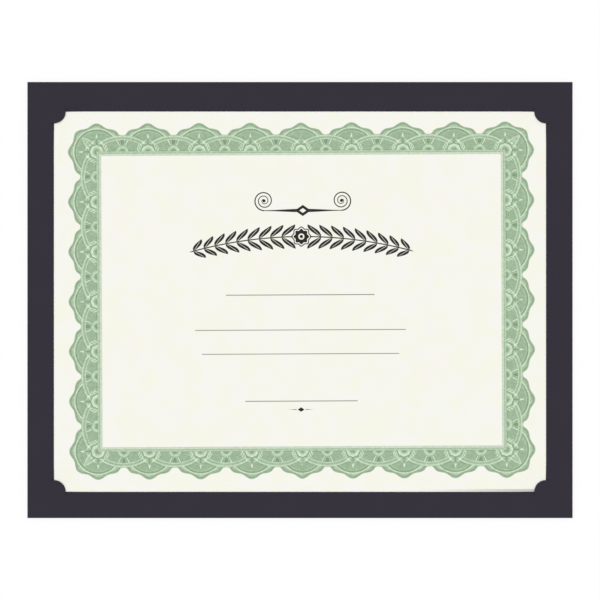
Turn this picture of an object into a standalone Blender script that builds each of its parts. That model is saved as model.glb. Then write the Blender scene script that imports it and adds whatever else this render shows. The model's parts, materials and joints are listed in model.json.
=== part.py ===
"""A bi-fold certificate holder of linen-finish card, die-cut and scored from one piece, with its sheet.

The card is folded back at the top: the display panel faces up, and the front cover lies underneath it,
joined by a narrow spine between two score lines. Four quarter-round tabs hold a letter-size sheet. Its
corners go through the slits round the tabs and lie behind the panel, and the card beside each slit bows
down with them.

Metres, +Z up. The origin is under the middle of the holder, on the surface that it lies on.
+X runs along the fold, and +Y points to the fold, which is the top of the certificate.
"""

import math

import bmesh
import bpy
from mathutils import Vector
from mathutils.geometry import delaunay_2d_cdt

# The certificate: a letter sheet of parchment paper
SHEET_WIDTH = 0.2794
SHEET_HEIGHT = 0.2159
SHEET_THICKNESS = 0.00018

# The card, and the border that it shows round the sheet
CARD_THICKNESS = 0.0004
SIDE_MARGIN = 0.0151
BOTTOM_MARGIN = 0.0149
TOP_MARGIN = 0.01685

# The corner tabs: quarter rounds about the sheet's corners, each cut free by a slit
TAB_RADIUS = 0.0067
SLIT_WIDTH = 0.0002
SLIT_OVERRUN = math.radians(25)
BOW_LENGTH = 0.012

# Clearances
LAY_GAP = 0.0001
SCORE_GAP = 0.0001
FOLD_ROOM = 0.0006

# Mesh density, and the limits below which points are one and edges are smooth
NOSE_STEPS = 6
SLIT_STEPS = 20
BOW_RINGS = 7
SAME_POINT = 1e-7
SMOOTH_ANGLE = math.radians(30)

# The card's colour is a blackish navy, and the sheet's an ivory white
CARD_COLOUR = (0.0382, 0.0343, 0.0467, 1.0)
PAPER_COLOUR = (0.922, 0.922, 0.847, 1.0)
CARD_ROUGHNESS = 0.8
PAPER_ROUGHNESS = 0.75

# Sizes that follow from those above
HALF_CARD = CARD_THICKNESS / 2
HOLDER_WIDTH = SHEET_WIDTH + 2 * SIDE_MARGIN
HOLDER_HEIGHT = SHEET_HEIGHT + BOTTOM_MARGIN + TOP_MARGIN
POCKET_DEPTH = CARD_THICKNESS + SHEET_THICKNESS + 2 * LAY_GAP
SPINE_PITCH = CARD_THICKNESS + POCKET_DEPTH + FOLD_ROOM
CREASE_Y = HOLDER_HEIGHT / 2 - HALF_CARD
FREE_EDGE_Y = -HOLDER_HEIGHT / 2
PANEL_Z = HALF_CARD + SPINE_PITCH
SHEET_Y = FREE_EDGE_Y + BOTTOM_MARGIN + SHEET_HEIGHT / 2
SLIT_OUTER_RADIUS = TAB_RADIUS + SLIT_WIDTH / 2
SLIT_INNER_RADIUS = TAB_RADIUS - SLIT_WIDTH / 2
SHEET_HALF_ANGLE = math.radians(45)
SLIT_HALF_ANGLE = SHEET_HALF_ANGLE + SLIT_OVERRUN
ROOT_EDGE = SLIT_OUTER_RADIUS * math.cos(SLIT_HALF_ANGLE)
ROOT_AXIS = ROOT_EDGE + HALF_CARD + SCORE_GAP

# Each sheet corner: the sides of the sheet that meet there, as signs along X and Y
CORNERS = {
    "top_left": (-1, 1),
    "top_right": (1, 1),
    "bottom_left": (-1, -1),
    "bottom_right": (1, -1),
}


def clear_scene():
    for obj in list(bpy.data.objects):
        bpy.data.objects.remove(obj, do_unlink=True)


def make_material(name, colour, roughness):
    material = bpy.data.materials.new(name)
    material.use_nodes = True
    shader = material.node_tree.nodes["Principled BSDF"]
    shader.inputs["Base Color"].default_value = colour
    shader.inputs["Roughness"].default_value = roughness
    shader.inputs["Metallic"].default_value = 0.0
    return material


def add_object(name, bm, material, parent, place, turn=0.0):
    """Links a finished mesh as an object, at a place and a turn about Z in its parent's frame."""
    bmesh.ops.recalc_face_normals(bm, faces=bm.faces)
    mesh = bpy.data.meshes.new(name)
    bm.to_mesh(mesh)
    bm.free()
    mesh.shade_smooth()
    mesh.set_sharp_from_angle(angle=SMOOTH_ANGLE)
    mesh.materials.append(material)
    obj = bpy.data.objects.new(name, mesh)
    bpy.context.scene.collection.objects.link(obj)
    obj.parent = parent
    obj.location = place
    obj.rotation_euler.z = turn
    return obj


def rectangle(low, high):
    """The corners of an upright rectangle, counterclockwise."""
    return [
        Vector((low[0], low[1])),
        Vector((high[0], low[1])),
        Vector((high[0], high[1])),
        Vector((low[0], high[1])),
    ]


def from_corner(signs, radius, angle):
    """A point of the panel, by its distance from a sheet corner and its angle off the diagonal there."""
    across = radius * math.cos(SHEET_HALF_ANGLE + angle)
    along = radius * math.sin(SHEET_HALF_ANGLE + angle)
    return Vector(
        (
            signs[0] * (SHEET_WIDTH / 2 - across),
            SHEET_Y + signs[1] * (SHEET_HEIGHT / 2 - along),
        )
    )


def to_corner(signs, point):
    """The distance of a point from a sheet corner, and its angle off that corner's diagonal."""
    across = SHEET_WIDTH / 2 - signs[0] * point.x
    along = SHEET_HEIGHT / 2 - signs[1] * (point.y - SHEET_Y)
    return math.hypot(across, along), math.atan2(along, across) - SHEET_HALF_ANGLE


def arc(signs, radius, half_angle, steps):
    """Points along an arc about a sheet corner."""
    return [
        from_corner(signs, radius, half_angle * (2 * i / steps - 1))
        for i in range(steps + 1)
    ]


def smooth_step(value):
    value = min(max(value, 0.0), 1.0)
    return value * value * (3 - 2 * value)


def bow(radius):
    """How far the card and the sheet bow down beside a slit, fading out over BOW_LENGTH."""
    return POCKET_DEPTH * (1 - smooth_step((radius - SLIT_OUTER_RADIUS) / BOW_LENGTH))


def panel_height(point):
    """How high the panel's top face is over its plane: down beside the slits, and flat where they end."""
    for signs in CORNERS.values():
        radius, angle = to_corner(signs, point)
        if SLIT_OUTER_RADIUS - SAME_POINT <= radius <= SLIT_OUTER_RADIUS + BOW_LENGTH:
            past_sheet = (abs(angle) - SHEET_HALF_ANGLE) / SLIT_OVERRUN
            return -bow(radius) * (1 - smooth_step(past_sheet))
    return 0.0


def sheet_height(point):
    """How high the sheet's top face is over the panel's flat top face. Its tips lie under the panel."""
    on_panel = LAY_GAP + SHEET_THICKNESS
    return on_panel - max(bow(to_corner(signs, point)[0]) for signs in CORNERS.values())


def fill_outline(outline, openings, guides):
    """A flat triangulated face inside an outline, round its openings, with a vertex at each guide."""
    points, loops = [], []
    for loop in [outline, *openings]:
        loops.append(range(len(points), len(points) + len(loop)))
        points += loop
    without_openings = 2
    filled = delaunay_2d_cdt(points + guides, [], loops, without_openings, SAME_POINT)
    bm = bmesh.new()
    verts = [bm.verts.new((point.x, point.y, 0)) for point in filled[0]]
    for face in filled[2]:
        bm.faces.new([verts[i] for i in face])
    loose = [vert for vert in bm.verts if not vert.link_faces]
    bmesh.ops.delete(bm, geom=loose, context="VERTS")
    return bm


def thicken(bm, thickness):
    """Extrudes a face downwards into a solid plate."""
    made = bmesh.ops.extrude_face_region(bm, geom=bm.faces[:])
    moved = [item for item in made["geom"] if isinstance(item, bmesh.types.BMVert)]
    bmesh.ops.translate(bm, verts=moved, vec=(0, 0, -thickness))
    bmesh.ops.recalc_face_normals(bm, faces=bm.faces)


def round_edge(bm, outward):
    """Spins a half-round nose onto the end wall that faces outward, as a crease rounds the card."""
    outward = Vector(outward)
    facing = [face for face in bm.faces if face.normal.dot(outward) > math.cos(SMOOTH_ANGLE)]
    wall = max(facing, key=lambda face: face.calc_center_median().dot(outward))
    centre = wall.calc_center_median()
    top = max(wall.edges, key=lambda edge: (edge.verts[0].co + edge.verts[1].co).z)
    axis = outward.cross(Vector((0, 0, -1)))
    bmesh.ops.delete(bm, geom=[wall], context="FACES_ONLY")
    bmesh.ops.spin(
        bm,
        geom=[top, *top.verts],
        cent=centre,
        axis=axis,
        angle=math.pi,
        steps=NOSE_STEPS,
    )
    bmesh.ops.remove_doubles(bm, verts=bm.verts, dist=SAME_POINT)
    bmesh.ops.holes_fill(bm, edges=[edge for edge in bm.edges if edge.is_boundary])


def build_display_panel(material, parent):
    """The panel that shows the certificate, with an opening for each tab and the bowed card beside it."""
    outline = rectangle((-HOLDER_WIDTH / 2, FREE_EDGE_Y), (HOLDER_WIDTH / 2, CREASE_Y))
    openings, guides = [], []
    for signs in CORNERS.values():
        openings.append(arc(signs, SLIT_OUTER_RADIUS, SLIT_HALF_ANGLE, SLIT_STEPS))
        for ring in range(1, BOW_RINGS + 1):
            radius = SLIT_OUTER_RADIUS + BOW_LENGTH * ring / BOW_RINGS
            guides += arc(signs, radius, SLIT_HALF_ANGLE, SLIT_STEPS)
    bm = fill_outline(outline, openings, guides)
    for vert in bm.verts:
        vert.co.z = HALF_CARD + panel_height(vert.co)
    thicken(bm, CARD_THICKNESS)
    round_edge(bm, (0, 1, 0))
    return add_object("display_panel", bm, material, parent, (0, 0, PANEL_Z))


def build_tab(corner, signs, material, parent):
    """One quarter-round tab, hinged on the line between its slit's ends. Its origin is on that line."""
    half_angle = math.acos(ROOT_AXIS / SLIT_INNER_RADIUS)
    angles = [half_angle * (2 * i / SLIT_STEPS - 1) for i in range(SLIT_STEPS + 1)]
    outline = [
        Vector((SLIT_INNER_RADIUS * math.cos(a) - ROOT_AXIS, SLIT_INNER_RADIUS * math.sin(a)))
        for a in angles
    ]
    bm = fill_outline(outline, [], [])
    bmesh.ops.translate(bm, verts=bm.verts, vec=(0, 0, HALF_CARD))
    thicken(bm, CARD_THICKNESS)
    round_edge(bm, (-1, 0, 0))
    root = from_corner(signs, ROOT_AXIS, 0)
    turn = math.atan2(-signs[1], -signs[0])
    return add_object(f"corner_tab_{corner}", bm, material, parent, (root.x, root.y, 0), turn)


def build_spine(material, parent):
    """The strip between the two score lines. It hangs from the panel's crease, where its origin is."""
    length = SPINE_PITCH - CARD_THICKNESS - 2 * SCORE_GAP
    bm = bmesh.new()
    bmesh.ops.create_cube(bm, size=1)
    bmesh.ops.scale(bm, verts=bm.verts, vec=(HOLDER_WIDTH, CARD_THICKNESS, length))
    bmesh.ops.translate(bm, verts=bm.verts, vec=(0, 0, -SPINE_PITCH / 2))
    return add_object("spine_strip", bm, material, parent, (0, CREASE_Y, 0))


def build_front_cover(material, parent):
    """The cover, folded back under the display panel. Its origin is on its crease at the spine."""
    outline = rectangle((-HOLDER_WIDTH / 2, FREE_EDGE_Y - CREASE_Y), (HOLDER_WIDTH / 2, 0))
    bm = fill_outline(outline, [], [])
    bmesh.ops.translate(bm, verts=bm.verts, vec=(0, 0, HALF_CARD))
    thicken(bm, CARD_THICKNESS)
    round_edge(bm, (0, 1, 0))
    return add_object("front_cover", bm, material, parent, (0, 0, -SPINE_PITCH))


def build_certificate(material, parent):
    """The sheet, flat on the panel, with its tips bowed down through the slits to lie behind the card."""
    outline, guides = [], []
    for signs in CORNERS.values():
        outline.append(from_corner(signs, 0, 0))
        for ring in range(BOW_RINGS + 1):
            radius = SLIT_OUTER_RADIUS + BOW_LENGTH * ring / BOW_RINGS
            first, *inner, last = arc(signs, radius, SHEET_HALF_ANGLE, SLIT_STEPS)
            outline += [first, last]
            guides += inner
    outline.sort(key=lambda point: math.atan2(point.y - SHEET_Y, point.x))
    bm = fill_outline(outline, [], guides)
    for vert in bm.verts:
        vert.co.z = HALF_CARD + sheet_height(vert.co)
    thicken(bm, SHEET_THICKNESS)
    return add_object("certificate", bm, material, parent, (0, 0, 0))


def build_holder():
    clear_scene()
    card = make_material("linen_card", CARD_COLOUR, CARD_ROUGHNESS)
    paper = make_material("parchment_paper", PAPER_COLOUR, PAPER_ROUGHNESS)
    holder = bpy.data.objects.new("certificate_holder", None)
    bpy.context.scene.collection.objects.link(holder)
    panel = build_display_panel(card, holder)
    for corner, signs in CORNERS.items():
        build_tab(corner, signs, card, panel)
    spine = build_spine(card, panel)
    build_front_cover(card, spine)
    build_certificate(paper, panel)


build_holder()
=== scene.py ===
"""The looks of a bi-fold certificate holder: linen card, folded back, with a parchment sheet in it.

Metres, +Z up. The holder lies on its folded-back cover, and the certificate's top points to +Y. A
material reads its place in millimetres, so the lengths in its pattern have no MM beside them.
"""

import json
import math

import bmesh
import bpy
import numpy as np
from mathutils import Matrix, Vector


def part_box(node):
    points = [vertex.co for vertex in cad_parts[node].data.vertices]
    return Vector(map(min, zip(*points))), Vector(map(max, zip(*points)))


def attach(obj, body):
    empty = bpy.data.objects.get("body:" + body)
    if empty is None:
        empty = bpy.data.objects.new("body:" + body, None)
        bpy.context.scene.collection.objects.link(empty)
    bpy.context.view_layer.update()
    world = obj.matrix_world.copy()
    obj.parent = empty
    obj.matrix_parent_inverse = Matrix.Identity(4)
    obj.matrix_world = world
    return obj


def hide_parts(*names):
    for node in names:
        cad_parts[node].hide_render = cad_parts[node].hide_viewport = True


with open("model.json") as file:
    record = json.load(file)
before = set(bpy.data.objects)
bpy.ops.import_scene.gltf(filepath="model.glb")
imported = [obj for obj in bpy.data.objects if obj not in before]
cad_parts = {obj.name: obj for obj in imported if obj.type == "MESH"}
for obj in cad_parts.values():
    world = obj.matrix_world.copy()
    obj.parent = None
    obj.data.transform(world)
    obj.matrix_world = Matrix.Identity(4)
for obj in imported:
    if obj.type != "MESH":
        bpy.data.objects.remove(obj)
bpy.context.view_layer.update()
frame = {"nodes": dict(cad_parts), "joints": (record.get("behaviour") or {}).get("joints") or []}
nodes = frame["nodes"]
joints = {joint["name"]: joint for joint in frame["joints"]}

# The display panel, its corner tabs and the cover
# The panel and the cover are two faces of one folded sheet of 16-point card, dyed through and embossed
# with a linen weave. A curved slit cuts each quarter-round tab free of the panel, except at its root.

MM = 0.001
TAU = 2 * math.pi
CARD_COLOUR = (47.5, 44.2, 54.2)
CARD_FIBRE_COLOUR = (55.5, 52.2, 62.2)
CARD_CUT_COLOUR = (58, 55, 64)
CARD_ROUGHNESS = (0.74, 0.86)
CARD_SPECULAR = 0.12
CARD_FIBRE_SCALE = 6.0
CARD_CLOUD_SCALE = 0.05
THREAD_PITCH = 0.52
THREAD_DEPTH = 0.022 * MM
THREAD_WANDER = 1.6
WARP_WANDER_SCALE = 0.16
WEFT_WANDER_SCALE = 0.11
SWELL_ACROSS = 1.9
SWELL_ALONG = 0.11
CUT_WIDTH = 0.25
CUT_SCALE = 0.9


def linear(colour):
    """An sRGB colour of 0 to 255 as the linear light that a shader takes."""
    parts = [part / 255 for part in colour]
    return tuple(
        part / 12.92 if part <= 0.04045 else ((part + 0.055) / 1.055) ** 2.4 for part in parts
    ) + (1.0,)


class Field:
    """A value that varies over a surface. Arithmetic on it adds the Math nodes that work it out."""

    def __init__(self, recipe, socket):
        self.recipe = recipe
        self.socket = socket

    def math(self, operation, *values):
        return self.recipe.node(
            "ShaderNodeMath", {"operation": operation}, dict(enumerate(values))
        )

    def __add__(self, other):
        return self.math("ADD", self, other)

    __radd__ = __add__

    def __sub__(self, other):
        return self.math("SUBTRACT", self, other)

    def __rsub__(self, other):
        return self.math("SUBTRACT", other, self)

    def __mul__(self, other):
        return self.math("MULTIPLY", self, other)

    __rmul__ = __mul__

    def __truediv__(self, other):
        return self.math("DIVIDE", self, other)

    def __rtruediv__(self, other):
        return self.math("DIVIDE", other, self)

    def __neg__(self):
        return self.math("MULTIPLY", self, -1.0)

    def __abs__(self):
        return self.math("ABSOLUTE", self)

    def above(self, other):
        """1 where this value is the greater of two, and 0 elsewhere."""
        return self.math("GREATER_THAN", self, other)

    def least(self, other):
        return self.math("MINIMUM", self, other)

    def most(self, other):
        return self.math("MAXIMUM", self, other)

    def join(self, other, reach):
        """The greater of two values, passing smoothly from one to the other where they are close."""
        return self.math("SMOOTH_MAX", self, other, reach)

    def length(self, other):
        """The length of a vector whose two parts these are."""
        return self.math("SQRT", self * self + other * other)

    def angle(self, other):
        """The angle of that vector from the second part's axis."""
        return self.math("ARCTAN2", self, other)

    def sine(self):
        return self.math("SINE", self)

    def cosine(self):
        return self.math("COSINE", self)

    def fraction(self):
        return self.math("FRACT", self)

    def fade(self, start, end):
        """0 at start and 1 at end, in a smooth step."""
        return self.recipe.node(
            "ShaderNodeMapRange",
            {"interpolation_type": "SMOOTHSTEP"},
            {"Value": self, "From Min": start, "From Max": end},
        )

    def within(self, half_width, soft):
        """1 where the value is nearer to 0 than half_width, with a soft edge."""
        return abs(self).fade(half_width + soft, half_width - soft)

    def lay(self, level, mask):
        """This value with another laid over it, where the mask is 1."""
        return self.recipe.blend(self, level, mask)


class Recipe:
    """How a material or the world is made up, node by node."""

    def __init__(self, tree):
        self.tree = tree

    def node(self, kind, settings=None, values=None, output=0):
        """A node of any kind: its settings first, then the values or links of its sockets."""
        made = self.tree.nodes.new(kind)
        for name, value in (settings or {}).items():
            if name == "stops":
                ramp = made.color_ramp
                while len(ramp.elements) < len(value):
                    ramp.elements.new(1.0)
                for element, (position, colour) in zip(ramp.elements, value, strict=True):
                    element.position = position
                    element.color = colour
            else:
                setattr(made, name, value)
        for name, value in (values or {}).items():
            if isinstance(value, Field):
                self.tree.links.new(value.socket, made.inputs[name])
            else:
                made.inputs[name].default_value = value
        return Field(self, made.outputs[output])

    def feed(self, shader, name, field):
        """A link from a field to one of a shader's sockets."""
        self.tree.links.new(field.socket, shader.inputs[name])

    def place(self, centre=(0, 0, 0), turn=0.0):
        """Object coordinates in millimetres, from a centre and with a turn about Z."""
        here = self.node("ShaderNodeTexCoord", output="Object")
        return self.node(
            "ShaderNodeMapping",
            {"vector_type": "TEXTURE"},
            {"Vector": here, "Location": centre, "Rotation": (0, 0, turn), "Scale": (MM, MM, MM)},
        )

    def split(self, vector):
        """The X, Y and Z of a vector."""
        parts = self.node("ShaderNodeSeparateXYZ", {}, {"Vector": vector})
        return [Field(self, parts.socket.node.outputs[i]) for i in range(3)]

    def stretched(self, vector, scale):
        """A vector with each of its parts multiplied by a number of its own."""
        return self.node(
            "ShaderNodeVectorMath", {"operation": "MULTIPLY"}, {0: vector, 1: scale}
        )

    def noise(self, vector, scale, detail=2.0):
        return self.node(
            "ShaderNodeTexNoise",
            {"noise_dimensions": "3D"},
            {"Vector": vector, "Scale": scale, "Detail": detail},
        )

    def blend(self, low, high, share):
        """One number passing into another."""
        return self.node(
            "ShaderNodeMix", {"data_type": "FLOAT"}, {"Factor": share, 2: low, 3: high}
        )

    def tint(self, low, high, share):
        """One colour passing into another."""
        return self.node(
            "ShaderNodeMix",
            {"data_type": "RGBA"},
            {"Factor": share, 6: low, 7: high},
            output=2,
        )


class Finish(Recipe):
    """One material, on a Principled shader whose constant sockets are set at once."""

    def __init__(self, name, **constants):
        self.material = bpy.data.materials.new(name)
        self.material.use_nodes = True
        super().__init__(self.material.node_tree)
        self.shader = self.tree.nodes["Principled BSDF"]
        for socket, value in constants.items():
            self.shader.inputs[socket.replace("_", " ")].default_value = value

    def look(self, colour, roughness, height, depth):
        """Gives the material its colour, its roughness, and a bump of that height times depth."""
        self.feed(self.shader, "Base Color", colour)
        self.feed(self.shader, "Roughness", roughness)
        bump = self.node("ShaderNodeBump", {}, {"Height": height, "Distance": depth})
        self.feed(self.shader, "Normal", bump)
        return self.material


def linen_card(name, half_width, free_edge):
    """Card embossed with a weave: two crossed sine waves whose threads wander and swell by noise. Its
    colour is paler where the weave is high and with the fibre and cloud noise, and palest at the cut
    edges."""
    finish = Finish(name, Specular_IOR_Level=CARD_SPECULAR)
    place = finish.place()
    x, y, z = finish.split(place)
    wave = TAU / THREAD_PITCH
    warp_wander = (finish.noise(place, WARP_WANDER_SCALE, 3.0) - 0.5) * THREAD_WANDER
    weft_wander = (finish.noise(place, WEFT_WANDER_SCALE, 3.0) - 0.5) * THREAD_WANDER
    warp = ((x + warp_wander) * wave).sine()
    weft = ((y - z + weft_wander) * wave).sine()
    warp_stretch = (SWELL_ACROSS, SWELL_ALONG, SWELL_ALONG)
    weft_stretch = (SWELL_ALONG, SWELL_ACROSS, SWELL_ACROSS)
    warp_swell = finish.noise(finish.stretched(place, warp_stretch), 1.0)
    weft_swell = finish.noise(finish.stretched(place, weft_stretch), 1.0)
    height = 0.5 + 0.5 * (warp * warp_swell + weft * weft_swell)
    fibres = finish.noise(place, CARD_FIBRE_SCALE, 3.0)
    clouds = finish.noise(place, CARD_CLOUD_SCALE, 3.0)
    from_edge = (half_width - abs(x)).least(y - free_edge)
    cut = from_edge.fade(CUT_WIDTH, 0.0) * finish.noise(place, CUT_SCALE).fade(0.3, 0.6)
    # Paler where the weave is high, and with the fibre and cloud noise
    paler_share = (height * 0.5 + fibres * 0.35 + clouds * 0.15).fade(0.3, 0.8)
    colour = finish.tint(linear(CARD_COLOUR), linear(CARD_FIBRE_COLOUR), paler_share)
    colour = finish.tint(colour, linear(CARD_CUT_COLOUR), cut)
    rough = finish.blend(*CARD_ROUGHNESS, fibres)
    return finish.look(colour, rough, height + fibres * 0.2, THREAD_DEPTH)


cover_low, cover_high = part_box("front_cover")
card = linen_card("linen_card", cover_high.x / MM, cover_low.y / MM)
card_nodes = ["display_panel", "front_cover", *[name for name in nodes if "corner_tab" in name]]
for name in card_nodes:
    nodes[name].material_slots[0].material = card


# The edges of the slits
# A tab has no hinge: the same card bends along its root, and past the sheet's edges its slit is closed.
# Each piece here is the bent card at one root, with the lips of the cut at its two ends.

ROOT_REACH = 0.45 * MM
ROOT_HALF_LENGTH = 6.2 * MM
FLUSH = 0.004 * MM
SLIT_RADIUS = 6.8 * MM
POCKET_DEPTH = 0.78 * MM
LIP_WIDTH = 0.14 * MM
ROUND_STEPS = 10
SHARP_ANGLE = 35

# A slit's angles, in degrees from the line out of the sheet's corner through the tab's root
SHEET_EDGE_ANGLE = 45
LIP_START = 1.5
SLIT_PAST_SHEET = 25
LIP_STEPS = 12


def smooth(value):
    """The smooth step: 3t² less 2t³, with t held between 0 and 1."""
    held = np.clip(value, 0, 1)
    return held * held * (3 - 2 * held)


def closed_bars(name, bars):
    """One mesh of closed bars. A bar is an array of cross-sections, each a ring of points joined to the
    same points of the next ring, and its first and last rings are closed flat."""
    faces, base = [], 0
    for bar in bars:
        sections, count, _ = bar.shape
        ring = np.arange(count)
        after = (ring + 1) % count
        first = base + count * np.arange(sections - 1)[:, None]
        walls = np.stack([first + ring, first + after, first + count + after, first + count + ring], -1)
        faces += walls.reshape(-1, 4).tolist()
        faces += [(base + ring[::-1]).tolist(), (base + (sections - 1) * count + ring).tolist()]
        base += sections * count
    points = np.concatenate([bar.reshape(-1, 3) for bar in bars])
    mesh = bpy.data.meshes.new(name)
    mesh.from_pydata(points.tolist(), [], faces)
    bm = bmesh.new()
    bm.from_mesh(mesh)
    bmesh.ops.recalc_face_normals(bm, faces=bm.faces)
    bm.to_mesh(mesh)
    bm.free()
    mesh.shade_smooth()
    mesh.set_sharp_from_angle(angle=math.radians(SHARP_ANGLE))
    made = bpy.data.objects.new(name, mesh)
    bpy.context.scene.collection.objects.link(made)
    return made


def round_ended(half_length, radius, across, up):
    """A flat oval in the plane of two directions: two half circles, whose points lie at the radius times
    the cosine and the sine of their angle, joined by straight sides."""
    turn = np.linspace(-math.pi / 2, math.pi / 2, ROUND_STEPS)
    right = np.stack([half_length + radius * np.cos(turn), radius * np.sin(turn)], 1)
    loop = np.concatenate([right, -right])
    return loop[:, :1] * np.array(across, float) + loop[:, 1:] * np.array(up, float)


def slit_lip(corner, inward, side, low, high):
    """The panel's cut edge along the slit past the sheet: its height is the panel's bow at the slit,
    which a smooth step of the angle takes from the pocket's depth back to nothing."""
    past_sheet = np.linspace(LIP_START, SLIT_PAST_SHEET, LIP_STEPS)
    angle = np.radians(SHEET_EDGE_ANGLE + past_sheet)[:, None]
    ray = inward * np.cos(angle) + side * np.sin(angle)
    inner = corner + (SLIT_RADIUS - LIP_WIDTH) * ray
    outer = corner + (SLIT_RADIUS + LIP_WIDTH) * ray
    drop = POCKET_DEPTH * (1 - smooth(past_sheet / SLIT_PAST_SHEET))[:, None]
    top = (high - 2 * FLUSH - drop) * (0, 0, 1)
    bottom = (low + FLUSH - drop) * (0, 0, 1)
    return np.stack([inner + bottom, outer + bottom, outer + top, inner + top], 1)


sheet_low, sheet_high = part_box("certificate")
sheet_centre = (sheet_low + sheet_high) / 2
sheet_half = (sheet_high - sheet_low) / 2
card_half = (cover_high.z - cover_low.z) / 2
for name in ("top_left", "top_right", "bottom_left", "bottom_right"):
    joint = joints[f"tab_flex_{name}"]
    axis = np.array(joint["axis"], float)
    middle = np.array(joint["pos_m"], float)
    corner = np.array(sheet_centre) + np.array(sheet_half) * (np.sign(middle) * (1, 1, 0))
    inward = (middle - corner) * (1, 1, 0)
    inward /= np.linalg.norm(inward)
    bend = round_ended(ROOT_REACH / 2, card_half - FLUSH, inward, (0, 0, 1))
    bend += middle - inward * ROOT_REACH / 2
    bars = [np.stack([bend - axis * ROOT_HALF_LENGTH, bend + axis * ROOT_HALF_LENGTH])]
    corner[2] = 0
    for side in (axis, -axis):
        bars.append(slit_lip(corner, inward, side, middle[2] - card_half, middle[2] + card_half))
    slit = closed_bars(f"slit_edge_{name}", bars)
    slit.data.materials.append(card)
    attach(slit, "panel")


# The spine
# The narrow strip of the same card between the two score lines, in one with the panel and the cover. It
# turns round their creases, where the pressed card is rounded over.

upper = joints["spine_fold"]["pos_m"]
lower = joints["cover_fold"]["pos_m"]
spine_half = (upper[2] - lower[2]) / 2
spine_middle = (0, upper[1], (upper[2] + lower[2]) / 2)
strip = round_ended(spine_half, card_half - FLUSH, (0, 0, 1), (0, 1, 0)) + np.array(spine_middle)
reach = np.array((cover_high.x - FLUSH, 0, 0))
spine = closed_bars("spine_fold", [np.stack([strip - reach, strip + reach])])
spine.data.materials.append(card)
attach(spine, "spine")
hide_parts("spine_strip")


# The certificate
# A letter sheet of parchment paper with a border printed in green line work. Its corners are pushed
# through the slits, so the sheet dips towards each tab and its tips lie behind the panel.

SHEET_THICKNESS = 0.18 * MM
DIP_LENGTH = 12 * MM
FINE_BAND = 22 * MM
FINE_STEP = 0.8 * MM
COARSE_STEP = 4 * MM
WAVE_HEIGHT = 0.03 * MM
WAVE_SCALE = (31 * MM, 43 * MM)
WAVE_START = (0.6, 0.4)


def spaced(half):
    """Places from -half to half: close together near both ends, and wider apart between them."""
    fine = np.arange(0, FINE_BAND, FINE_STEP) - half
    steps = int((half - FINE_BAND) / COARSE_STEP) * 2
    return np.concatenate([fine, np.linspace(FINE_BAND - half, half - FINE_BAND, steps), -fine[::-1]])


def sheet_surface(name):
    """The sheet's upper face on a grid: level, with a faint wave that is a product of two sines, and
    lowered near each corner by a smooth step of the distance from it, flat within the slit's radius."""
    x, y = np.meshgrid(spaced(sheet_half.x), spaced(sheet_half.y), indexing="xy")
    from_corner = np.hypot(sheet_half.x - np.abs(x), sheet_half.y - np.abs(y))
    depth = sheet_high.z - sheet_low.z - SHEET_THICKNESS
    dip = depth * (1 - smooth((from_corner - SLIT_RADIUS) / DIP_LENGTH))
    level = smooth((from_corner - SLIT_RADIUS - DIP_LENGTH) / FINE_BAND)
    ripple = np.sin(x / WAVE_SCALE[0] + WAVE_START[0]) * np.sin(y / WAVE_SCALE[1] + WAVE_START[1])
    z = sheet_high.z - WAVE_HEIGHT - dip + WAVE_HEIGHT * level * ripple
    rows, columns = x.shape
    points = np.stack([x + sheet_centre.x, y + sheet_centre.y, z], -1).reshape(-1, 3)
    first = (np.arange(rows - 1)[:, None] * columns + np.arange(columns - 1)).ravel()
    faces = np.stack([first, first + 1, first + columns + 1, first + columns], 1)
    mesh = bpy.data.meshes.new(name)
    mesh.from_pydata(points.tolist(), [], faces.tolist())
    mesh.shade_smooth()
    made = bpy.data.objects.new(name, mesh)
    bpy.context.scene.collection.objects.link(made)
    wall = made.modifiers.new("thickness", "SOLIDIFY")
    wall.thickness = SHEET_THICKNESS
    wall.offset = -1
    wall.material_offset = 1
    wall.material_offset_rim = 1
    return made


# The border on the sheet. Its units, a medallion and an arch each, are laid from the corners inwards,
# and the middle one of a side is cut narrower, by twice the join. A motif is laid over those before it.
BORDER_HALF_WIDTH = 115.95
BORDER_HALF_HEIGHT = 85.0
JOIN_ACROSS = 0.37
JOIN_DOWN = 0.07
UNITS_ACROSS = 8
UNITS_DOWN = 6
PITCH_ACROSS = 2 * (BORDER_HALF_WIDTH + JOIN_ACROSS) / UNITS_ACROSS
PITCH_DOWN = 2 * (BORDER_HALF_HEIGHT + JOIN_DOWN) / UNITS_DOWN

# The scalloped edge: its radius round a medallion, a little more on the upright sides, with lobes on
# it, and its radius round the centre of an arch, which lies inward of the medallions' line
EDGE_RADIUS = 15.33
UPRIGHT_EXTRA = 0.19
LOBES = 8
LOBE_HEIGHT = 0.83
ARCH_DEPTH = 14.33
ARCH_EDGE = 23.75
EDGE_JOIN = 2.4

# The rules' place, outward of that line on the upright and on the level sides
RULES_OUT = (0.08, 0.26)

# The rope's oval: its middle, along the line from the medallion and outward of it, its half sizes, and
# the cosine and sine of its lean
ROPE_MIDDLE = (4.95, 2.4)
ROPE_HALF = (1.3, 2.4)
ROPE_LEAN = (0.93, 0.37)

# How far off the missing arch at a corner counts as being, and how softly a pale or dark line ends
FAR_OFF = 50
LINE_SOFT = 0.1


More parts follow.
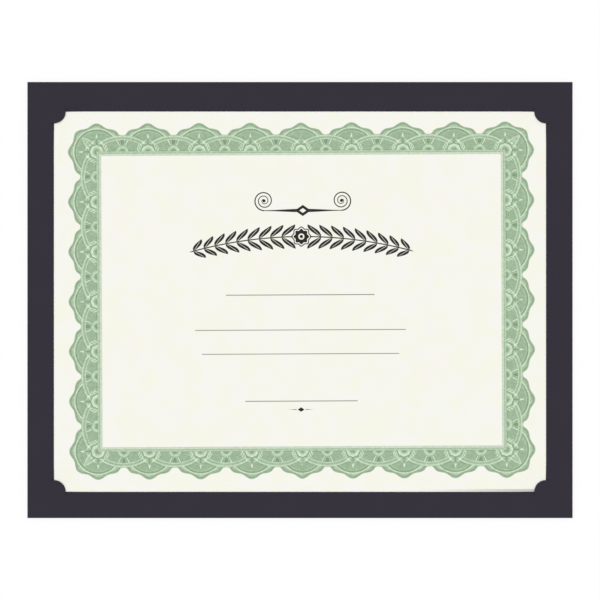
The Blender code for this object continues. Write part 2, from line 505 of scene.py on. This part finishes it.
class Border:
    """Where a point of the print lies in the border, by its distances from the border's parts.

    The medallions' centres stand on one line round the sheet, and an arch spans from each to the next.
    out is how far the point lies outward of that line, along how far from the corner's medallion, near
    how far along the line from the nearest medallion, and mid how far from the arch's middle. radius is
    its distance from the medallion's centre, arch from the arch's centre, which is far off where no arch
    stands, edge from the scalloped edge inwards, and inner from the rules outwards. rope is 1 on the
    outline of the rope's leaning oval, and beside is 1 between the corners and 0 past them."""

    def __init__(self, finish, across, up):
        dx = abs(across) - BORDER_HALF_WIDTH
        dy = abs(up) - BORDER_HALF_HEIGHT
        upright = dx.above(dy)
        pitch = finish.blend(PITCH_ACROSS, PITCH_DOWN, upright)
        self.out = dx.most(dy)
        self.along = -dx.least(dy)
        self.beside = self.along.above(0.0)
        self.near = pitch * abs((self.along / pitch + 0.5).fraction() - 0.5)
        self.mid = pitch * 0.5 - self.near
        self.radius = self.near.length(self.out)
        self.lobes = (self.near.angle(self.out) * LOBES).cosine()
        self.arch = self.mid.length(self.out + ARCH_DEPTH) + (1 - self.beside) * FAR_OFF
        rim = EDGE_RADIUS + UPRIGHT_EXTRA * upright + LOBE_HEIGHT * self.lobes - self.radius
        self.edge = rim.join(ARCH_EDGE - self.arch, EDGE_JOIN)
        self.inner = (dx - RULES_OUT[0]).most(dy - RULES_OUT[1])
        rope_x = self.near - ROPE_MIDDLE[0]
        rope_y = self.out - ROPE_MIDDLE[1]
        width = (ROPE_LEAN[0] * rope_x + ROPE_LEAN[1] * rope_y) / ROPE_HALF[0]
        height = (ROPE_LEAN[0] * rope_y - ROPE_LEAN[1] * rope_x) / ROPE_HALF[1]
        self.rope = width.length(height)


def dark_edge(at):
    """The scalloped edge, dark in a line along it and paler inward by a smooth step."""
    line_in = 0.95
    edge_line = (at.edge - line_in).within(0.4, 0.4)
    return 0.43 + 0.17 * at.edge.fade(1.0, 2.1) - 0.22 * edge_line


def medallion(at, tone):
    """A pale ring, a dark groove and a ground of fine arcs, each a band or a wave of the distance from
    the centre. The ground is shaded beside the arch."""
    ring, groove, arc, arc_pitch = 13.12, 12.3, 11.4, 0.86
    waves = ((at.radius - arc) * (TAU / arc_pitch)).cosine()
    ground = 0.38 + 0.1 * waves + 0.1 * (at.radius - arc).within(0.5, 0.3)
    tone = tone.lay(ground, at.radius.fade(12.8, 12.5))
    tone = tone.lay(0.84, (at.radius - ring).within(0.35, LINE_SOFT))
    tone = tone.lay(0.1, (at.radius - groove).within(0.28, LINE_SOFT))
    shaded = at.radius.fade(11.6, 11.0) * at.radius.fade(5.6, 6.2)
    return tone.lay(0.26, (at.arch - 24.1).within(0.3, 0.3) * shaded)


def under_arch(at, tone):
    """A ground of fine rays under the arch, waves of the angle from the foot of its middle. On it are the
    rope's shade, an eyelet, two pairs of spokes, a dark wedge between them, and a half rosette."""
    foot, ray_angle = 0.4, math.radians(9.2)
    ray_up = at.out - foot
    under = at.arch.fade(21.05, 20.85)
    rays = (at.mid.angle(ray_up) * (TAU / ray_angle)).cosine()
    ground = 0.39 + 0.12 * rays - 0.2 * (at.out - 0.5).within(0.3, 0.3)
    tone = tone.lay(ground, under * at.near.fade(4.2, 4.6))
    tone = tone.lay(0.28, at.rope.fade(1.42, 1.15) * at.beside)
    eyelet_at = (7.0, 1.3)
    eyelet = (at.near - eyelet_at[0]).length(at.out - eyelet_at[1])
    tone = tone.lay(0.5, eyelet.fade(0.75, 0.35) * at.beside)
    spoke = under * ray_up.fade(2.9, 3.3)
    for slant, level, shade, half in ((27.5, 0.98, 0.24, 0.25), (13.0, 0.56, 0.3, 0.18)):
        lean = math.radians(slant)
        aside = at.mid * math.cos(lean) - ray_up * math.sin(lean)
        tone = tone.lay(shade, (aside - 0.52).within(0.2, 0.2) * spoke)
        tone = tone.lay(level, aside.within(half, 0.14) * spoke)
    wedge = (ray_up * 0.2 - at.mid).fade(-0.05, 0.2)
    tone = tone.lay(0.0, wedge * under * ray_up.fade(3.3, 4.1))
    petal = at.mid.length(at.out)
    return tone.lay(0.08 + 0.66 * petal.fade(1.0, 2.4), petal.fade(3.52, 3.22))


def arch_lines(at, tone):
    """The arch: two pale lines at two radii from its centre, with a groove between them."""
    outer, inner = 23.12, 21.33
    band = at.near.fade(2.3, 2.9)
    groove = at.arch.fade(23.1, 22.9) * at.arch.fade(21.2, 21.3)
    tone = tone.lay(0.53 - 0.014 * at.mid, groove * band)
    tone = tone.lay(0.77, (at.arch - outer).within(0.44, 0.14) * band)
    return tone.lay(0.75, (at.arch - inner).within(0.28, LINE_SOFT) * at.near.fade(3.6, 4.2))


def rope_and_rosette(at, tone):
    """The rope beside the medallion, its strands evenly spaced along a slant, and the rosette in the
    middle, whose dark outline is a circle with eight faint lobes."""
    strand_at, strand_slant, strand_pitch = 2.92, 0.5, 1.42
    slid = at.near - strand_slant * at.out - strand_at
    strand = (slid / strand_pitch + 0.5).fraction() - 0.5
    tone = tone.lay(0.82 - 0.37 * strand.within(0.2, 0.1), at.rope.fade(1.04, 0.94) * at.beside)
    bloom = at.radius - 0.12 * at.lobes
    tone = tone.lay(0.12, bloom.fade(4.42, 4.22))
    return tone.lay(0.03 + 0.85 * at.radius.fade(0.3, 3.1), bloom.fade(3.85, 3.6))


def stroke(x, y, start, end):
    """The distance from a point to the straight line between two places: the point's share of the way
    along it is held between 0 and 1, and what is left is measured."""
    run = Vector(end) - Vector(start)
    x = x - start[0]
    y = y - start[1]
    share = ((x * run.x + y * run.y) / run.length_squared).most(0.0).least(1.0)
    return (x - share * run.x).length(y - share * run.y)


def stem_and_leaves(at, tone):
    """A leaf of three strokes on each side, from a pale bud, and a stem with a dark core in a pointed
    sheath, whose half width is a parabola of the height."""
    near, out = at.near, at.out
    bud, leaf_foot = (2.72, 5.25), (2.72, 5.0)
    leaf = stroke(near, out, bud, (0.85, 6.6)).least(stroke(near, out, bud, (1.0, 4.3)))
    leaf = leaf.least(stroke(near, out, leaf_foot, (3.75, 4.1)) + 0.06)
    tone = tone.lay(0.45, (near - 1.2).length(out - 5.4).fade(1.5, 0.9))
    leaf_half = (0.27 * near - 0.16).least(0.46)
    tone = tone.lay(0.82, (leaf_half - leaf).fade(-0.12, 0.12))
    tone = tone.lay(0.92, (near - bud[0]).length(out - bud[1]).fade(0.98, 0.5))
    sheath_foot, sheath_height, sheath_half = 4.6, 5.7, 0.94
    rise = (out - sheath_foot) / sheath_height
    sheath = sheath_half * (1 - rise * rise) - near
    tone = tone.lay(0.56, sheath.within(0.1, 0.1) * out.fade(5.4, 6.4) * rise.fade(1.02, 0.98))
    core = near.within(0.56 - 0.045 * out, 0.1) * (out - 5.6).within(1.5, 0.3)
    tone = tone.lay(0.05 * (out - 4.4), core)
    return tone.lay(1.0, sheath.fade(-0.08, 0.1) * out.fade(7.0, 8.7))


def corner_leaf(at, tone):
    """The leaf on a corner medallion's diagonal: its half width is a parabola of the place along it."""
    leaf_start, leaf_length, leaf_half = 5.56, 5.96, 1.87
    beyond = 1 - at.beside
    aside = (at.out + at.along) * math.sqrt(0.5)
    share = ((at.out - at.along) * math.sqrt(0.5) - leaf_start) / leaf_length
    blade = leaf_half * (1 - share * share) - aside
    tone = tone.lay(0.52 + 0.16 * share, blade.fade(-0.1, 0.1) * share.fade(-0.06, 0.02) * beyond)
    tone = tone.lay(0.88, blade.within(0.24, 0.1) * (share - 0.5).within(0.52, 0.03) * beyond)
    return tone.lay(0.93, (share + 0.02).within(0.1, 0.05) * aside.within(0.5, 0.3) * beyond)


def inner_rules(at, tone):
    """The rules along the inside, each a band of the distance from them, and the pale one past them."""
    rule = 0.57 + 0.09 * at.inner.fade(-1.2, -1.4)
    rule = rule + 0.12 * (at.inner + 0.5).within(0.2, 0.16)
    rule = rule - 0.14 * (at.inner + 1.08).within(0.18, 0.16)
    return tone.lay(rule, at.inner.fade(0.2, -0.05))


def border_print(finish, across, up):
    """How much ink the border lays at a point, and how pale it is: 0 is darkest, and 1 is palest."""
    at = Border(finish, across, up)
    tone = dark_edge(at)
    tone = under_arch(at, medallion(at, tone))
    tone = rope_and_rosette(at, arch_lines(at, tone))
    tone = corner_leaf(at, stem_and_leaves(at, tone))
    tone = inner_rules(at, tone)
    thin = 1 - 0.27 * at.inner.fade(-1.2, -1.4)
    cover = at.edge.fade(-0.16, 0.16) * at.inner.fade(-2.78, -2.42) * thin
    return cover, tone


# The blank form's dark ink: how softly its lines end
DARK_SOFT = 0.12


def laurel_arch(across, up):
    """Two branches on one arc of a circle, whose paired leaves slant up to a rosette between them. A
    leaf's half width is a parabola of the place along it, and the rosette is a circle with lobes."""
    arc_radius, arc_top = 239.0, 36.4
    slant = math.radians(42)
    first_leaf, leaf_pitch, leaf_pairs, leaf_half = 7.9, 6.5, 9, 1.5
    petal_count = 8
    from_centre = up - (arc_top - arc_radius)
    rise = across.length(from_centre) - arc_radius
    run = abs(across * (arc_radius / from_centre))
    height = abs(rise)
    slid = (run + height / math.tan(slant) - first_leaf) / leaf_pitch
    aside = (slid.fraction() - 0.5) * (leaf_pitch * math.sin(slant))
    leaf_length = 10.4 - 0.0007 * run * run
    share = 2 * height / (leaf_length * math.sin(slant)) - 1
    blade = leaf_half * (1 - share * share) - abs(aside)
    whole = slid.above(0.0) * (leaf_pairs - slid).above(0.0)
    rib = aside.within(0.1, 0.1) * share.fade(-0.95, -0.75) * share.fade(0.75, 0.5)
    leaves = blade.fade(-DARK_SOFT, DARK_SOFT) * whole * (1 - rib)
    branch = height.within(0.32, DARK_SOFT) * run.fade(4.6, 5.0) * run.fade(66.6, 64.0)
    rose = rise.length(run)
    rim = rose - (run.angle(rise) * petal_count).cosine() * 0.42
    outline = (rim - 5.0).within(0.32, DARK_SOFT)
    petals = rim.fade(4.1, 3.9) * (1 - rose.within(1.75, DARK_SOFT))
    return leaves.most(branch).most(outline).most(petals).most(rose.fade(1.05, 0.85))


def head_scroll(across, up):
    """A swelled rule with a pierced lozenge, and a volute at each end: a line of the angle round its
    centre, which comes nearer to it by one pitch a turn."""
    middle, level = 0.9, 51.2
    volute_at, volute_radius, volute_pitch = 22.0, 5.6, 1.95
    lozenge_width, lozenge_height = 4.6, 3.2
    side = abs(across - middle)
    rise = up - level
    swell = 0.22 + 0.75 * side.fade(volute_at, 0.0)
    rule = (swell - abs(rise)).fade(-DARK_SOFT, DARK_SOFT) * side.fade(volute_at + 0.5, volute_at)
    heart = side / lozenge_width + abs(rise) / lozenge_height
    lozenge = heart.fade(1.05, 0.95) * (1 - heart.within(0.42, 0.05))
    curl_x = side - volute_at
    curl_y = rise - volute_radius
    curl = curl_x.length(curl_y)
    turned = (curl_x.angle(-curl_y) / TAU).fraction()
    turn = ((volute_radius - curl) / volute_pitch - turned + 0.5).fraction() - 0.5
    line = (turn * volute_pitch).within(0.16 + 0.035 * curl, DARK_SOFT)
    mouth = (curl + turned.above(0.5) * 0.7).fade(volute_radius + 0.35, volute_radius + 0.25)
    return (rule * heart.fade(0.9, 1.0)).most(lozenge).most(line * mouth).most(curl.fade(1.0, 0.8))


def foot_mark(across, up):
    """A small lozenge, inside which the two distances from its middle, each over the lozenge's own half
    size, add up to less than 1, between two tapering dashes."""
    middle, level = -0.6, -61.8
    lozenge_width, lozenge_height = 1.9, 1.3
    dash_at, dash_half = 5.8, 3.2
    side = abs(across - middle)
    rise = abs(up - level)
    lozenge = (side / lozenge_width + rise / lozenge_height).fade(1.06, 0.94)
    taper = (0.34 - 0.05 * side - rise).fade(-DARK_SOFT, DARK_SOFT)
    return lozenge.most((side - dash_at).within(dash_half, 0.2) * taper)


def plain_rule(across, up, middle, level, half_length, half_width):
    """A straight rule: within half a length of its middle, and within half a width of its level."""
    return (across - middle).within(half_length, 0.2) * (up - level).within(half_width, 0.1)


PAPER_COLOUR = (246.8, 246.8, 241.0)
CREAM_COLOUR = (246.3, 246.5, 232.5)
BLUSH_COLOUR = (247.6, 245.6, 237.0)
PAPER_ROUGHNESS = (0.72, 0.82)
PAPER_SPECULAR = 0.15
CLOUD_SCALE = 0.085
BLUSH_STRETCH = (0.12, 0.09, 0.1)
FIBRE_STRETCH = (1.0, 2.6, 1.0)
FIBRE_SCALE = 1.6
FIBRE_DEPTH = 0.006 * MM
GRAIN_SCALE = 9.0

# The print lies a little off the sheet's centre and turned, and its border's ink is mottled
PRINT_CENTRE = (0.95 * MM, -0.38 * MM, 0)
PRINT_TURN = math.radians(0.28)
INK_ROUGHNESS = 0.6
MOTTLE_STRETCH = (0.7, 0.9, 1.0)
MOTTLE_SHARE = 0.6
INK_STOPS = [
    (0.0, linear((131, 156, 125))),
    (0.5, linear((165.8, 190.5, 159.2))),
    (0.8, linear((200.0, 220.0, 192.2))),
    (1.0, linear((221, 240, 212))),
]
DARK_INK_COLOUR = (38, 38, 36)
RULE_INK_COLOUR = (120, 119, 110)

# The blank form's plain rules: the middle, level, half length and half width of each
PLAIN_RULES = (
    (-0.8, 3.3, 42.2, 0.22),
    (-0.8, -16.6, 59.8, 0.2),
    (-0.8, -30.2, 56.0, 0.2),
    (-0.4, -57.0, 31.9, 0.22),
)

# A painted shade along the sheet's bottom edge: a grey wedge that grows towards its right end
EDGE_SHADE_COLOUR = (203, 203, 195)
EDGE_SHADE_WIDTH = 1.6
EDGE_SHADE_RUN = (60.0, 136.0)


def parchment(name, printed):
    """Parchment paper: ivory with cream clouds and short fibres, bare or with the print and a painted
    shade on it.
    """
    finish = Finish(name, Specular_IOR_Level=PAPER_SPECULAR)
    place = finish.place(PRINT_CENTRE, PRINT_TURN)
    across, up, _ = finish.split(place)
    clouds = finish.noise(place, CLOUD_SCALE, 5.0)
    blush = finish.noise(finish.stretched(place, BLUSH_STRETCH), 1.0, 4.0)
    fibres = finish.noise(finish.stretched(place, FIBRE_STRETCH), FIBRE_SCALE, 4.0)
    grain = finish.noise(place, GRAIN_SCALE)
    shade = clouds.fade(0.37, 0.63) * 0.9 + fibres * 0.1
    colour = finish.tint(linear(PAPER_COLOUR), linear(CREAM_COLOUR), shade)
    colour = finish.tint(colour, linear(BLUSH_COLOUR), blush.fade(0.45, 0.68) * 0.8)
    rough = finish.blend(*PAPER_ROUGHNESS, fibres)
    if printed:
        cover, tone = border_print(finish, across, up)
        mottle = finish.noise(finish.stretched(place, MOTTLE_STRETCH), 1.0, 3.0)
        tone = tone + (mottle - 0.5) * MOTTLE_SHARE + (fibres - 0.5) * 0.1
        ink = finish.node("ShaderNodeValToRGB", {"stops": INK_STOPS}, {"Fac": tone})
        colour = finish.tint(colour, ink, cover)
        for rule in PLAIN_RULES:
            colour = finish.tint(colour, linear(RULE_INK_COLOUR), plain_rule(across, up, *rule))
        dark = laurel_arch(across, up).most(head_scroll(across, up)).most(foot_mark(across, up))
        colour = finish.tint(colour, linear(DARK_INK_COLOUR), dark)
        rough = finish.blend(rough, INK_ROUGHNESS, cover.most(dark))
        # A painted shade: grey along the sheet's bottom edge, in a wedge that grows towards its right end
        x, y, _ = finish.split(finish.place(sheet_centre))
        from_bottom = y + sheet_half.y / MM
        wedge = (from_bottom - EDGE_SHADE_WIDTH).fade(0.1, -0.1) * x.fade(*EDGE_SHADE_RUN)
        colour = finish.tint(colour, linear(EDGE_SHADE_COLOUR), wedge)
    return finish.look(colour, rough, fibres + grain * 0.5, FIBRE_DEPTH)


certificate = sheet_surface("certificate_sheet")
certificate.data.materials.append(parchment("printed_parchment", True))
certificate.data.materials.append(parchment("bare_parchment", False))
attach(certificate, "panel")
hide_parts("certificate")


# The table top, the light and the camera
# The holder lies on a plain white table top in soft, even daylight, seen from straight above. The
# camera sees the white table glow evenly, with only a share of the shadow that falls on it.

FLOOR_DROP = 0.05 * MM
FLOOR_HALF = 3.0
TABLE_COLOUR = (0.95, 0.95, 0.95, 1)
SHADOW_SHARE = 0.16
WHITE_STRENGTH = 1.01
SKY_STRENGTH = 0.74
KEY_SUN = {"strength": 0.64, "angle": 40, "direction": (0.45, -0.5, -1)}
FILL_SUN = {"strength": 0.33, "angle": 50, "direction": (-0.5, 0.35, -1)}
IMAGE_WIDTH = 600
PIXELS_PER_MM = 1.7615
VIEW_WIDTH = IMAGE_WIDTH / PIXELS_PER_MM * MM
LENS = 100
SENSOR = 36

world = bpy.data.worlds.new("white_room")
bpy.context.scene.world = world
world.use_nodes = True
sky = Recipe(world.node_tree)
background = world.node_tree.nodes["Background"]
background.inputs["Color"].default_value = (1, 1, 1, 1)
seen = sky.node("ShaderNodeLightPath", output="Is Camera Ray")
sky.feed(background, "Strength", seen * (1 - SKY_STRENGTH) + SKY_STRENGTH)

bpy.ops.mesh.primitive_plane_add(size=2 * FLOOR_HALF, location=(0, 0, -FLOOR_DROP))
floor = bpy.context.object
floor.name = "table_top"
table = Finish("white_table", Base_Color=TABLE_COLOUR, Roughness=0.9, Specular_IOR_Level=0.0)
camera_ray = table.node("ShaderNodeLightPath", output="Is Camera Ray")
ray_kinds = camera_ray.socket.node.outputs
glossy_ray = Field(table, ray_kinds["Is Glossy Ray"])
passing_ray = Field(table, ray_kinds["Is Transmission Ray"])
shaded = Field(table, table.shader.outputs[0])
glow = table.node("ShaderNodeEmission", {}, {"Color": (1, 1, 1, 1), "Strength": WHITE_STRENGTH})
lit = camera_ray.most(glossy_ray).most(passing_ray) * (1 - SHADOW_SHARE)
mixed = table.node("ShaderNodeMixShader", {}, {"Fac": lit, 1: shaded, 2: glow})
table.feed(table.tree.nodes["Material Output"], "Surface", mixed)
floor.data.materials.append(table.material)

for name, sun in (("key_sun", KEY_SUN), ("fill_sun", FILL_SUN)):
    lamp = bpy.data.lights.new(name, "SUN")
    lamp.energy = sun["strength"]
    lamp.angle = math.radians(sun["angle"])
    holder = bpy.data.objects.new(name, lamp)
    holder.rotation_euler = Vector(sun["direction"]).to_track_quat("-Z", "Y").to_euler()
    bpy.context.scene.collection.objects.link(holder)

lens = bpy.data.cameras.new("camera")
lens.lens = LENS
lens.sensor_width = SENSOR
camera = bpy.data.objects.new("camera", lens)
camera.location = (0, 0, sheet_high.z + VIEW_WIDTH * LENS / SENSOR)
bpy.context.scene.collection.objects.link(camera)
bpy.context.scene.camera = camera
bpy.context.scene.view_settings.view_transform = "Standard"
